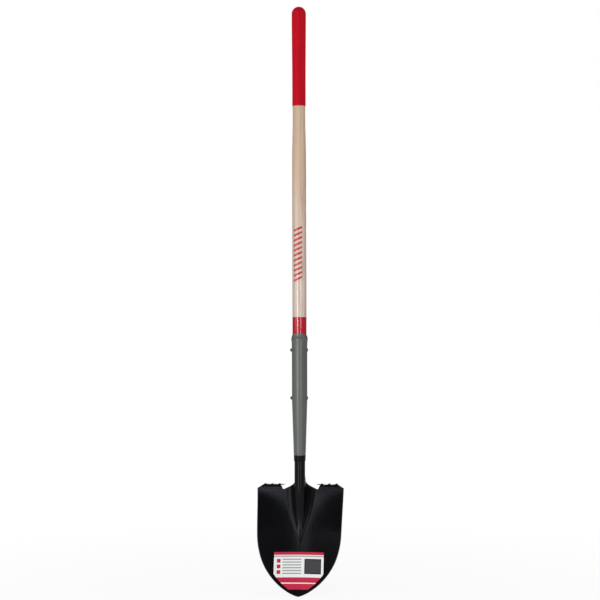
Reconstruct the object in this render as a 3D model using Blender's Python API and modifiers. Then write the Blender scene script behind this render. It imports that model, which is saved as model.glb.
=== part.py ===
"""Long-handled round-point shovel: pressed blade, steel collar, ash handle, two rivets and a grip sleeve.

The handle's centreline is the Z axis, up is toward the grip, and the blade's hollow face looks along -Y.
The origin is on the centreline, where a wall clip holds the bare shaft. All sizes are in metres.
"""
import math

import bmesh
import bpy
import numpy as np

# Gap left between two pieces that touch
FIT = 0.0003

# Levels along the centreline
CLIP_TO_GRIP = 0.2706
CLIP_TO_COLLAR = 0.3205
NECK_LENGTH = 0.0730

# Ash handle
SHAFT_DIAMETER = 0.036
WAIST_DIAMETER = 0.0322
END_DIAMETER = 0.0343
CAP_HEIGHT = 0.0175
SWELL_LENGTH = 0.180
WAIST_BELOW_GRIP = 0.034
SHAFT_FLARE_LENGTH = 0.105
HANDLE_BELOW_COLLAR = 0.050
FOOT_CHAMFER = 0.003

# Vinyl grip sleeve
GRIP_LENGTH = 0.2554
GRIP_WALL = 0.0008

# Steel collar
COLLAR_LENGTH = 0.3213
COLLAR_WALL = 0.0014
COLLAR_END_DIAMETER = 0.0298
COLLAR_END_WALL = 0.0009
BELL_RISE = 0.0015
BELL_DROP = 0.007
BELL_FADE = 0.009
BELL_REACH = 0.034
MOUTH_SLANT = math.radians(20)

# Rivets
UPPER_RIVET_DROP = 0.036
RIVET_SPACING = 0.1234
RIVET_TO_TAPER = 0.006
SHANK_DIAMETER = 0.0055
HEAD_DIAMETER = 0.009
HEAD_HEIGHT = 0.0044
TAIL_DIAMETER = 0.009
TAIL_HEIGHT = 0.0018

# Blade sheet, rolled socket and frog
SHEET = 0.002
SOCKET_ABOVE_RIVET = 0.034
SEAM_GAP = 0.0012
SEAM_SHOWN = 0.010
FLARE_HEIGHT = 0.022
FLARE_POWER = 2.26
FROG_FILLET = 0.025
FROG_LENGTH = 0.158
FROG_FADE = 3.0

# Blade outline and bowl
BLADE_LENGTH = 0.2813
LIFT = math.radians(20)
BOW = 0.008
BLADE_WIDTH = 0.213
STEP_FLARE = 0.0055
SHOULDER_FADE = 0.152
POINT_LENGTH = 0.1525
POINT_POWER = 2.19
POINT_FULLNESS = 0.709
DISH_DEPTH = 0.020
DISH_RAMP = 0.110

# Turned-back steps with their teeth and the relief notches beside the neck
STEP_STRAIGHT = 0.0035
STEP_BEND = 0.0066
TREAD_DEPTH = 0.014
STEP_CORNER_WIDTH = 0.015
STEP_CORNER_HEIGHT = 0.0084
STEP_CORNER_POWER = 1.1
TOOTH_COUNT = 3
TOOTH_BASE = 0.007
TOOTH_HEIGHT = 0.002
TOOTH_MARGIN = 0.0015
NECK_LAND = 0.001
NOTCH_WIDTH = 0.0085
NOTCH_DIP = 0.0018
NOTCH_UNDERCUT = 0.003
TREAD_POINT = 0.006

# Facets
TURNED_STEPS = 40
RIVET_STEPS = 20
DOME_FACETS = 4
CAP_FACETS = 7
SWELL_FACETS = 5
SHAFT_FLARE_FACETS = 6
MOUTH_FACETS = 9
MOUTH_GATHER = 2.0
CREST_FACETS = 5
FILLET_FACETS = 6
FROG_LEAST_SPREAD = math.radians(25)
BLADE_ROWS = 28
ROW_GATHER = 1.15
ROLL_ROWS = 12
ROLL_GATHER = 1.4
BEND_ROWS = 5

# How far a cutter reaches past the piece it cuts, the least turn of an arc, and the welding distance
CUTTER_MARGIN = 0.020
LEAST_TURN = 1e-9
WELD = 0.00001

# Radii and levels that follow from the sizes above
SHAFT_RADIUS = SHAFT_DIAMETER / 2
WAIST_RADIUS = WAIST_DIAMETER / 2
END_RADIUS = END_DIAMETER / 2
COLLAR_RADIUS = SHAFT_RADIUS + FIT + COLLAR_WALL
COLLAR_END_RADIUS = COLLAR_END_DIAMETER / 2
NECK_RADIUS = COLLAR_END_RADIUS - COLLAR_END_WALL - FIT - SHEET / 2
GRIP_END_Z = CLIP_TO_GRIP
HANDLE_TOP_Z = GRIP_END_Z + GRIP_LENGTH - GRIP_WALL - FIT
COLLAR_TOP_Z = -CLIP_TO_COLLAR
COLLAR_END_Z = COLLAR_TOP_Z - COLLAR_LENGTH
UPPER_RIVET_Z = COLLAR_TOP_Z - UPPER_RIVET_DROP
LOWER_RIVET_Z = UPPER_RIVET_Z - RIVET_SPACING
TAPER_Z = LOWER_RIVET_Z - RIVET_TO_TAPER
SOCKET_TOP_Z = LOWER_RIVET_Z + SOCKET_ABOVE_RIVET
FLOOR_Z = COLLAR_END_Z - NECK_LENGTH
BLADE_DROP = BLADE_LENGTH * math.cos(LIFT)
STEP_WIDTH = BLADE_WIDTH + 2 * STEP_FLARE
STEP_RAKE = math.atan(math.tan(LIFT) - 4 * BOW / BLADE_DROP)
FROG_RADIUS = NECK_RADIUS + FROG_FILLET
ROLL_HEIGHT = NECK_LENGTH - SEAM_SHOWN
NOTCH_INNER = FROG_RADIUS + NECK_LAND
NOTCH_OUTER = NOTCH_INNER + NOTCH_WIDTH


def ease(value):
    """Smooth step from 0 to 1, level at both ends."""
    t = np.clip(value, 0.0, 1.0)
    return t * t * (3.0 - 2.0 * t)


def clear_scene():
    """Remove every object that the file starts with."""
    for item in list(bpy.data.objects):
        bpy.data.objects.remove(item, do_unlink=True)


def new_collection(name):
    """Add a collection to the scene."""
    collection = bpy.data.collections.new(name)
    bpy.context.scene.collection.children.link(collection)
    return collection


def plain_material(name, colour, roughness, metallic):
    """Principled material with one colour."""
    material = bpy.data.materials.new(name)
    material.use_nodes = True
    shader = material.node_tree.nodes["Principled BSDF"]
    shader.inputs["Base Color"].default_value = (*colour, 1.0)
    shader.inputs["Roughness"].default_value = roughness
    shader.inputs["Metallic"].default_value = metallic
    return material


def mesh_object(name, mesh, collection):
    """Put a mesh in the scene under a name."""
    item = bpy.data.objects.new(name, mesh)
    collection.objects.link(item)
    return item


def turned(name, profile, collection, steps=TURNED_STEPS, closed=False):
    """Turn a profile of (radius, height) points about Z; it runs down the outer side."""
    count = len(profile)
    edges = [(i, i + 1) for i in range(count - 1)]
    if closed:
        edges.append((count - 1, 0))
    mesh = bpy.data.meshes.new(name)
    mesh.from_pydata([(radius, 0.0, height) for radius, height in profile], edges, [])
    item = mesh_object(name, mesh, collection)
    screw = item.modifiers.new("turn", "SCREW")
    screw.axis = "Z"
    screw.angle = 2 * math.pi
    screw.steps = steps
    screw.render_steps = steps
    screw.use_merge_vertices = True
    screw.merge_threshold = WELD
    screw.use_smooth_shade = True
    return item


def cut(item, cutter):
    """Take a cutter's shape out of a piece."""
    boolean = item.modifiers.new("cut " + cutter.name, "BOOLEAN")
    boolean.operation = "DIFFERENCE"
    boolean.solver = "EXACT"
    boolean.object = cutter


def as_cutter(item, name, cutters):
    """Name an object, show it as a wire guide and keep it apart from the parts."""
    item.name = name
    item.hide_render = True
    item.display_type = "WIRE"
    for old in list(item.users_collection):
        old.objects.unlink(item)
    cutters.objects.link(item)
    return item


def upper_radius(z):
    """Radius of the wood above the collar: swelled end, waist under the grip, then the full shaft."""
    cap_z = HANDLE_TOP_Z - CAP_HEIGHT
    waist_z = GRIP_END_Z - WAIST_BELOW_GRIP
    swell = WAIST_RADIUS + (END_RADIUS - WAIST_RADIUS) * ease((z - cap_z + SWELL_LENGTH) / SWELL_LENGTH)
    flare = (SHAFT_RADIUS - WAIST_RADIUS) * ease((waist_z - z) / SHAFT_FLARE_LENGTH)
    return swell + flare


def capped_profile(offset, levels):
    """Profile of the handle's upper end, moved outward by an offset: a round cap, then the given levels."""
    cap_z = HANDLE_TOP_Z - CAP_HEIGHT
    angles = np.linspace(math.pi / 2, 0.0, CAP_FACETS + 1)
    width = END_RADIUS + offset
    height = CAP_HEIGHT + offset
    cap = [(width * math.cos(a), cap_z + height * math.sin(a)) for a in angles]
    cap[0] = (0.0, cap[0][1])
    return cap + [(float(upper_radius(z)) + offset, float(z)) for z in levels]


def taper_share(z):
    """How far down the collar's taper a level lies, from 0 at its start to 1 at the collar's end."""
    return min(1.0, max(0.0, (TAPER_Z - z) / (TAPER_Z - COLLAR_END_Z)))


def collar_radius(z):
    """Outer radius of the collar: a bell that curls in again at the mouth, a tube, then a taper to the neck."""
    below = COLLAR_TOP_Z - z
    fade = 1.0 + (max(0.0, below - BELL_DROP) / BELL_FADE) ** 2
    bell = BELL_RISE * float(ease(below / BELL_DROP)) / fade
    return COLLAR_RADIUS + (COLLAR_END_RADIUS - COLLAR_RADIUS) * taper_share(z) + bell


def collar_bore(z):
    """Inner radius of the collar, straight through the bell and then tapered, with a wall that thins."""
    bore = COLLAR_RADIUS - COLLAR_WALL
    end_bore = COLLAR_END_RADIUS - COLLAR_END_WALL
    return bore + (end_bore - bore) * taper_share(z)


def socket_radius(z):
    """Middle radius of the blade's rolled socket, which lies against the inside of the collar."""
    return collar_bore(z) - FIT - SHEET / 2


def build_handle(collection):
    """One turned ash shaft: round end, waist, full shaft, and a foot turned down to fit the socket."""
    cap_z = HANDLE_TOP_Z - CAP_HEIGHT
    waist_z = GRIP_END_Z - WAIST_BELOW_GRIP
    swell_levels = np.linspace(cap_z, cap_z - SWELL_LENGTH, SWELL_FACETS + 1)[1:]
    flare_levels = np.linspace(waist_z, waist_z - SHAFT_FLARE_LENGTH, SHAFT_FLARE_FACETS + 1)
    profile = capped_profile(0.0, [*swell_levels, *flare_levels])
    shoulder_z = SOCKET_TOP_Z + FIT
    foot_z = COLLAR_END_Z - HANDLE_BELOW_COLLAR
    profile.append((SHAFT_RADIUS, shoulder_z))
    for z in (shoulder_z, TAPER_Z, COLLAR_END_Z, foot_z + FOOT_CHAMFER):
        profile.append((socket_radius(z) - SHEET / 2 - FIT, z))
    profile.append((profile[-1][0] - FOOT_CHAMFER, foot_z))
    profile.append((0.0, foot_z))
    return turned("handle", profile, collection)


def build_grip(collection):
    """Vinyl sleeve with a closed round end, stretched over the handle's swelled end."""
    cap_z = HANDLE_TOP_Z - CAP_HEIGHT
    levels = [*np.linspace(cap_z, cap_z - SWELL_LENGTH, SWELL_FACETS + 1)[1:], GRIP_END_Z]
    outside = capped_profile(FIT + GRIP_WALL, levels)
    inside = capped_profile(FIT, levels)
    return turned("grip", outside + inside[::-1], collection)


def build_collar(collection, cutters):
    """Tapered steel tube with a bell mouth that is sawn off on a slant, higher at the front."""
    rim_z = COLLAR_TOP_Z + 2 * COLLAR_RADIUS * math.tan(MOUTH_SLANT)
    mouth_levels = COLLAR_TOP_Z - BELL_REACH * np.linspace(0.0, 1.0, MOUTH_FACETS + 1) ** MOUTH_GATHER
    outside = [(collar_radius(z), z) for z in (rim_z, *mouth_levels, TAPER_Z, COLLAR_END_Z)]
    inside = [(collar_bore(z), z) for z in (rim_z, TAPER_Z, COLLAR_END_Z)]
    collar = turned("collar", outside + inside[::-1], collection, closed=True)
    reach = 2 * COLLAR_RADIUS + CUTTER_MARGIN
    bpy.ops.mesh.primitive_cube_add(size=2 * reach)
    saw = as_cutter(bpy.context.object, "mouth_saw", cutters)
    saw.rotation_euler = (-MOUTH_SLANT, 0.0, 0.0)
    saw.location = (0.0, math.sin(MOUTH_SLANT) * reach, COLLAR_TOP_Z + math.cos(MOUTH_SLANT) * reach)
    cut(collar, saw)
    return collar


def rivet_drill(name, z, cutters):
    """Cylinder along X that drills a rivet's hole through whatever it joins."""
    bpy.ops.mesh.primitive_cylinder_add(
        vertices=RIVET_STEPS,
        radius=SHANK_DIAMETER / 2 + FIT,
        depth=2 * (COLLAR_RADIUS + CUTTER_MARGIN),
        location=(0.0, 0.0, z),
        rotation=(0.0, math.pi / 2, 0.0),
    )
    return as_cutter(bpy.context.object, name, cutters)


def build_rivet(name, z, collection):
    """Rivet along X: domed head on the left, shank, and a low peened tail on the right."""
    seat = collar_radius(z) + FIT
    angles = np.linspace(math.pi / 2, 0.0, DOME_FACETS + 1)
    head = [(HEAD_DIAMETER / 2 * math.cos(a), seat + HEAD_HEIGHT * math.sin(a)) for a in angles]
    tail = [(TAIL_DIAMETER / 2 * math.cos(a), -seat - TAIL_HEIGHT * math.sin(a)) for a in angles[::-1]]
    head[0] = (0.0, head[0][1])
    tail[-1] = (0.0, tail[-1][1])
    shank = [(SHANK_DIAMETER / 2, seat), (SHANK_DIAMETER / 2, -seat)]
    rivet = turned(name, head + shank + tail, collection, RIVET_STEPS)
    rivet.rotation_euler = (0.0, -math.pi / 2, 0.0)
    rivet.location = (0.0, 0.0, z)
    return rivet


def blade_bed(drop):
    """Y of the blade's middle: it comes forward with the lift and bows back between step and point."""
    t = drop / BLADE_DROP
    return FROG_FILLET - drop * math.tan(LIFT) + 4 * BOW * t * (1.0 - t)


def half_width(drop):
    """Half width of the blade: widest at the step, drawing in a little, then the round point."""
    shoulder = STEP_FLARE * np.clip(1.0 - drop / SHOULDER_FADE, 0.0, 1.0)
    t = np.clip((drop - BLADE_DROP + POINT_LENGTH) / POINT_LENGTH, 0.0, 1.0)
    return (BLADE_WIDTH / 2 + shoulder) * (1.0 - t**POINT_POWER) ** POINT_FULLNESS


def frog_angle(drop):
    """Half angle of the frog's round crest: a right angle at the neck, fading to nothing down the blade."""
    t = np.clip(drop / FROG_LENGTH, 0.0, 1.0)
    height = (1.0 - t) ** FROG_FADE * (1.0 + (FROG_FADE - 1.0) * t)
    return np.arccos(1.0 - height)


def frog_relief(x, angle):
    """How far the frog stands in front of the blade: a round crest that runs into a hollow fillet."""
    crest_end = NECK_RADIUS * np.sin(angle)
    frog_end = FROG_RADIUS * np.sin(angle)
    height = FROG_RADIUS * (1.0 - np.cos(angle))
    crest = height - NECK_RADIUS + np.sqrt(np.maximum(NECK_RADIUS**2 - x**2, 0.0))
    reach = np.clip(frog_end - x, 0.0, FROG_FILLET)
    fillet = FROG_FILLET - np.sqrt(FROG_FILLET**2 - reach**2)
    return np.where(x < crest_end, crest, fillet)


def frog_columns(angle):
    """X of the sheet's columns over one side of the frog, evenly spread along its two arcs."""
    crest = NECK_RADIUS * np.sin(angle * np.linspace(0.0, 1.0, CREST_FACETS + 1))
    fillet_turn = angle * np.linspace(1.0, 0.0, FILLET_FACETS + 1)
    fillet = FROG_RADIUS * np.sin(angle) - FROG_FILLET * np.sin(fillet_turn)
    return np.concatenate([crest, fillet[1:]])


def shelf_columns():
    """X of the columns outside the frog at the step: notch, teeth with the flats between, and corner."""
    first_tooth = NOTCH_OUTER + NOTCH_UNDERCUT + TOOTH_MARGIN + TOOTH_BASE / 2
    last_tooth = STEP_WIDTH / 2 - STEP_CORNER_WIDTH - TOOTH_MARGIN - TOOTH_BASE / 2
    columns = [NOTCH_INNER, (NOTCH_INNER + NOTCH_OUTER) / 2, NOTCH_OUTER]
    for middle in np.linspace(first_tooth, last_tooth, TOOTH_COUNT):
        columns += [middle - TOOTH_BASE / 2, middle, middle + TOOTH_BASE / 2]
    columns += [(columns[-1] + STEP_WIDTH / 2) / 2, STEP_WIDTH / 2]
    return np.array(columns)


def body_patch():
    """Points of the blade below the notches, from the step row down to the tip."""
    drops = BLADE_DROP * np.sin(math.pi / 2 * np.linspace(0.0, 1.0, BLADE_ROWS + 1) ** ROW_GATHER)
    shelf = shelf_columns()
    shares = (shelf - FROG_RADIUS) / (STEP_WIDTH / 2 - FROG_RADIUS)
    rows = []
    for row, drop in enumerate(drops):
        edge = half_width(drop)
        frog = frog_columns(max(frog_angle(drop), FROG_LEAST_SPREAD)) * min(1.0, 2 * edge / BLADE_WIDTH)
        x = np.concatenate([frog, frog[-1] + shares * (edge - frog[-1])])
        depth = np.full(len(x), drop)
        if row == 0:
            depth[len(frog) + 1] += NOTCH_DIP
        dish = DISH_DEPTH * ease(depth / DISH_RAMP) * (2 * x / BLADE_WIDTH) ** 2
        y = blade_bed(depth) - frog_relief(x, frog_angle(depth)) - dish
        rows.append(np.column_stack([x, y, FLOOR_Z - depth]))
    return np.array(rows)


def neck_row(height):
    """One side of the sheet above the notches: half a crest, then an arc that sweeps in and rolls shut.

    The arc leaves the crest straight back and ends on a path that starts at the notch, on the blade's
    slope, runs up beside the tube and closes at the seam.
    """
    radius = socket_radius(FLOOR_Z + height)
    flare = max(0.0, 1.0 - height / FLARE_HEIGHT) ** FLARE_POWER
    shut = float(ease((height - FLARE_HEIGHT) / (ROLL_HEIGHT - FLARE_HEIGHT)))
    rise = min(1.0, height / ROLL_HEIGHT)
    aside = (NOTCH_INNER - NECK_RADIUS) * flare - (radius - SEAM_GAP / 2) * shut
    slope = math.tan(STEP_RAKE) * height * (1.0 - rise) ** 2
    back = radius + (FROG_FILLET - radius) * (1.0 - float(ease(rise))) + slope
    spread = 2 * math.atan2(aside, back) + LEAST_TURN
    reach = back / math.sin(spread)
    crest_turn = np.linspace(0.0, math.pi / 2, CREST_FACETS + 1)
    arm_turn = spread * np.linspace(0.0, 1.0, FILLET_FACETS + 2)[1:]
    x = np.concatenate([radius * np.sin(crest_turn), radius + reach * (1.0 - np.cos(arm_turn))])
    y = np.concatenate([-radius * np.cos(crest_turn), reach * np.sin(arm_turn)])
    return np.column_stack([x, y, np.full(len(x), FLOOR_Z + height)])


def neck_patch(notch_row):
    """Points of the frog's neck and the rolled socket, from the socket's top down to the notch row."""
    rolling = ROLL_HEIGHT * np.linspace(0.0, 1.0, ROLL_ROWS + 1)[1:] ** ROLL_GATHER
    heights = [*rolling, COLLAR_END_Z - FLOOR_Z, TAPER_Z - FLOOR_Z, SOCKET_TOP_Z - FLOOR_Z]
    rows = [neck_row(height) for height in heights[::-1]]
    return np.array([*rows, notch_row[: len(rows[0])]])


def step_corner(drop):
    """How far the step's rounded outer corner draws in at a drop below the tread."""
    up = np.clip(1.0 - drop / STEP_CORNER_HEIGHT, 0.0, 1.0)
    return STEP_CORNER_WIDTH * (1.0 - (1.0 - up**STEP_CORNER_POWER) ** (1.0 / STEP_CORNER_POWER))


def step_patch(notch_row):
    """Points of one turned-back step, from the tread's rear edge round the bend to the notch row."""
    top = shelf_columns()[2:]
    teeth = np.zeros(len(top))
    teeth[2 : 2 + 3 * TOOTH_COUNT : 3] = TOOTH_HEIGHT
    start_y = FROG_FILLET + STEP_STRAIGHT * math.sin(STEP_RAKE)
    start_z = FLOOR_Z + STEP_STRAIGHT * math.cos(STEP_RAKE)
    centre_y = start_y + STEP_BEND * math.cos(STEP_RAKE)
    centre_z = start_z - STEP_BEND * math.sin(STEP_RAKE)
    tread_z = centre_z + STEP_BEND
    stations = [(centre_y + TREAD_DEPTH * share, tread_z, math.pi / 2) for share in (1.0, 0.5)]
    for angle in np.linspace(math.pi / 2, STEP_RAKE, BEND_ROWS + 1):
        place_y = centre_y - STEP_BEND * math.cos(angle)
        place_z = centre_z + STEP_BEND * math.sin(angle)
        stations.append((place_y, place_z, angle))
    rows = []
    for place_y, place_z, angle in stations:
        turn = (angle - STEP_RAKE) / (math.pi / 2 - STEP_RAKE)
        back = max(0.0, place_y - centre_y) / TREAD_DEPTH
        outer = STEP_WIDTH / 2 - step_corner(tread_z - place_z)
        x = top.copy()
        x[0] += NOTCH_UNDERCUT * math.sin(math.pi * turn) - TREAD_POINT * back
        x[-2:] = top[-3] + (outer - top[-3]) * np.array([0.5, 1.0])
        lift = teeth * ease(2.0 * turn - 1.0)
        y = place_y - lift * math.cos(angle)
        z = place_z + lift * math.sin(angle)
        rows.append(np.column_stack([x, y, z]))
    return np.array([*rows, notch_row[-len(top) :]])


def add_patch(sheet, points):
    """Join rows of points with faces that look to the front."""
    rows = [[sheet.verts.new(point) for point in row] for row in points]
    for above, below in zip(rows, rows[1:]):
        for i in range(len(above) - 1):
            sheet.faces.new((above[i], above[i + 1], below[i + 1], below[i]))


def build_blade(collection):
    """One pressing: half of the sheet is lofted in three patches, mirrored and given its thickness."""
    sheet = bmesh.new()
    body = body_patch()
    for points in (body, neck_patch(body[0]), step_patch(body[0])):
        add_patch(sheet, points)
    bmesh.ops.remove_doubles(sheet, verts=sheet.verts, dist=WELD)
    mesh = bpy.data.meshes.new("blade")
    sheet.to_mesh(mesh)
    sheet.free()
    mesh.shade_smooth()
    blade = mesh_object("blade", mesh, collection)
    mirror = blade.modifiers.new("other half", "MIRROR")
    mirror.merge_threshold = WELD
    solid = blade.modifiers.new("thickness", "SOLIDIFY")
    solid.thickness = SHEET
    solid.offset = 0.0
    solid.use_even_offset = True
    return blade


def main():
    """Build the pieces, drill them for the rivets and give each its material."""
    clear_scene()
    parts = new_collection("shovel")
    cutters = new_collection("cutters")
    blade = build_blade(parts)
    handle = build_handle(parts)
    collar = build_collar(parts, cutters)
    upper_rivet = build_rivet("upper_rivet", UPPER_RIVET_Z, parts)
    lower_rivet = build_rivet("lower_rivet", LOWER_RIVET_Z, parts)
    grip = build_grip(parts)
    upper_drill = rivet_drill("upper_drill", UPPER_RIVET_Z, cutters)
    lower_drill = rivet_drill("lower_drill", LOWER_RIVET_Z, cutters)
    for item in (collar, handle):
        cut(item, upper_drill)
    for item in (collar, handle, blade):
        cut(item, lower_drill)
    finishes = {
        blade: ("black_paint", (0.010, 0.010, 0.013), 0.35, 0.0),
        handle: ("ash", (0.60, 0.44, 0.30), 0.45, 0.0),
        collar: ("grey_steel", (0.17, 0.18, 0.16), 0.40, 0.6),
        upper_rivet: ("upper_rivet_steel", (0.20, 0.21, 0.19), 0.40, 0.7),
        lower_rivet: ("lower_rivet_steel", (0.20, 0.21, 0.19), 0.40, 0.7),
        grip: ("red_vinyl", (0.50, 0.006, 0.02), 0.45, 0.0),
    }
    for item, finish in finishes.items():
        item.data.materials.append(plain_material(*finish))


main()
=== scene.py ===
"""Looks of a long-handled round-point shovel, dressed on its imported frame.

The handle's centreline is the Z axis, the blade's hollow face looks along -Y, and all sizes are in metres.
"""
import math

import bmesh
import bpy
import numpy as np
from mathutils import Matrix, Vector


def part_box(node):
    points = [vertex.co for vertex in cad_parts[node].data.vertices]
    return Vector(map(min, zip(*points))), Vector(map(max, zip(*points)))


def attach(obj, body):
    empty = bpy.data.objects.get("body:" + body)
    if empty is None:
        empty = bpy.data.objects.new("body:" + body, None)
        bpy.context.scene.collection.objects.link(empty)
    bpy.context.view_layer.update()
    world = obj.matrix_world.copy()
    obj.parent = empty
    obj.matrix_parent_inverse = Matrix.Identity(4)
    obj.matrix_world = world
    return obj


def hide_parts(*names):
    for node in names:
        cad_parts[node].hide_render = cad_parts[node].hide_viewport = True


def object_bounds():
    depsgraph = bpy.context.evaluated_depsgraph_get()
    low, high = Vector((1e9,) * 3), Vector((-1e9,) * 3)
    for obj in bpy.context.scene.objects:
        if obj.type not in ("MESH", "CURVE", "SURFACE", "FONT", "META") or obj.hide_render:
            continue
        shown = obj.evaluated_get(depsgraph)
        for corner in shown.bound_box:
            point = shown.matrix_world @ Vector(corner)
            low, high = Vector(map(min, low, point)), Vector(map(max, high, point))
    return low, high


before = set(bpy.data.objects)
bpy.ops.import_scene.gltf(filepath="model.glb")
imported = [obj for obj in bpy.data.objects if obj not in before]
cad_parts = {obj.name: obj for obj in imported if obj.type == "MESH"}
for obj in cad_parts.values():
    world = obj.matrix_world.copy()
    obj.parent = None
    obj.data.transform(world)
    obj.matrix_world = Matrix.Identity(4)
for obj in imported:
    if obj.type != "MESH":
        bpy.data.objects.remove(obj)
cad_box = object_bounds()


# Handle. One straight length of ash, turned with a swelled round end, a waist below it and a stepped foot
# that fits inside the blade's socket. It is lacquered clear, with a red painted band at the collar's
# mouth, a plain row of red bars printed on its front, and a black foot that was dipped with the blade.
SHAFT_RADIUS = 0.018
WAIST_RADIUS = 0.0161
END_RADIUS = 0.01715
CAP_HEIGHT = 0.0175
SWELL_LENGTH = 0.180
WAIST_BELOW_GRIP = 0.034
SHAFT_FLARE_LENGTH = 0.105
SHOULDER_RADIUS = 0.0157
FOOT_RADIUS = 0.0114
FOOT_CHAMFER = 0.003
RIVET_TO_TAPER = 0.006
FIT = 0.0003
MERGE_DISTANCE = 0.000002
TURNED_SIDES = 96
CAP_RINGS = 28
WOOD_RINGS = 220

HANDLE_FOOT_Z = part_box("handle")[0][2]
HANDLE_TOP_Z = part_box("handle")[1][2]
GRIP_END_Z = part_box("grip")[0][2]
SOCKET_TOP_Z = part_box("blade")[1][2]
COLLAR_END_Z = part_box("collar")[0][2]
TAPER_Z = (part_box("lower_rivet")[0][2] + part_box("lower_rivet")[1][2]) / 2 - RIVET_TO_TAPER
CAP_Z = HANDLE_TOP_Z - CAP_HEIGHT


def ease(value):
    """Smooth step: 3 t squared minus 2 t cubed, with t held between 0 and 1."""
    t = np.clip(value, 0.0, 1.0)
    return t * t * (3.0 - 2.0 * t)


def grid_faces(rows, columns, wraps=False):
    """Corner numbers of the quads between rows and columns; wraps joins the last column to the first."""
    index = np.arange(rows * columns).reshape(rows, columns)
    if wraps:
        index = np.concatenate([index, index[:, :1]], axis=1)
    corners = [index[:-1, :-1], index[1:, :-1], index[1:, 1:], index[:-1, 1:]]
    return np.stack(corners, axis=-1).reshape(-1, 4)


def mesh_piece(name, points, faces, sharp_degrees, inset=None):
    """Object of the given points and quads, with doubles merged, shaded smooth below the sharp angle.

    Where an inset is given, each point keeps it: how far it lies in from the piece's edge.
    """
    mesh = bpy.data.meshes.new(name)
    mesh.from_pydata(points.reshape(-1, 3).tolist(), [], faces.tolist())
    if inset is not None:
        mesh.attributes.new("inset", "FLOAT", "POINT").data.foreach_set("value", inset)
    cage = bmesh.new()
    cage.from_mesh(mesh)
    bmesh.ops.remove_doubles(cage, verts=cage.verts, dist=MERGE_DISTANCE)
    cage.to_mesh(mesh)
    cage.free()
    mesh.shade_smooth()
    mesh.set_sharp_from_angle(angle=math.radians(sharp_degrees))
    piece = bpy.data.objects.new(name, mesh)
    bpy.context.scene.collection.objects.link(piece)
    return piece


def ring_piece(name, rings, sharp_degrees):
    """Object whose rows of points are closed rings, each one joined to the next."""
    return mesh_piece(name, rings, grid_faces(*rings.shape[:2], wraps=True), sharp_degrees)


def turned_points(radii, heights, sides):
    """Rings about Z: radius times the cosine and sine of even angles, at each height in turn."""
    angle = np.linspace(0.0, 2 * np.pi, sides, endpoint=False)
    x = radii[:, None] * np.cos(angle)
    y = radii[:, None] * np.sin(angle)
    z = np.repeat(heights[:, None], sides, axis=1)
    return np.stack([x, y, z], axis=-1)


def upper_radius(z):
    """Radius of the wood: the waist, plus an eased swell to the end, plus an eased flare to the shaft."""
    waist_z = GRIP_END_Z - WAIST_BELOW_GRIP
    swell = (END_RADIUS - WAIST_RADIUS) * ease((z - CAP_Z + SWELL_LENGTH) / SWELL_LENGTH)
    flare = (SHAFT_RADIUS - WAIST_RADIUS) * ease((waist_z - z) / SHAFT_FLARE_LENGTH)
    return WAIST_RADIUS + swell + flare


def capped_profile(offset, bottom_z, count):
    """Radii and heights down the upper end: a quarter ellipse, then the wood, moved out by an offset."""
    turn = np.linspace(np.pi / 2, 0.0, CAP_RINGS)
    cap_radii = (END_RADIUS + offset) * np.cos(turn)
    cap_heights = CAP_Z + (CAP_HEIGHT + offset) * np.sin(turn)
    heights = np.linspace(CAP_Z, bottom_z, count)[1:]
    radii = upper_radius(heights) + offset
    return np.concatenate([cap_radii, radii]), np.concatenate([cap_heights, heights])


shoulder_z = SOCKET_TOP_Z + FIT
chamfer_z = HANDLE_FOOT_Z + FOOT_CHAMFER
chamfer_radius = FOOT_RADIUS - FOOT_CHAMFER
wood_radii, wood_heights = capped_profile(0.0, shoulder_z, WOOD_RINGS)
foot_radii = [SHOULDER_RADIUS, SHOULDER_RADIUS, FOOT_RADIUS, FOOT_RADIUS, chamfer_radius, 0.0]
foot_heights = [shoulder_z, TAPER_Z, COLLAR_END_Z, chamfer_z, HANDLE_FOOT_Z, HANDLE_FOOT_Z]
handle_points = turned_points(
    np.concatenate([wood_radii, foot_radii]), np.concatenate([wood_heights, foot_heights]), TURNED_SIDES
)
handle = ring_piece("ash_handle", handle_points, sharp_degrees=40)


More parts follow.
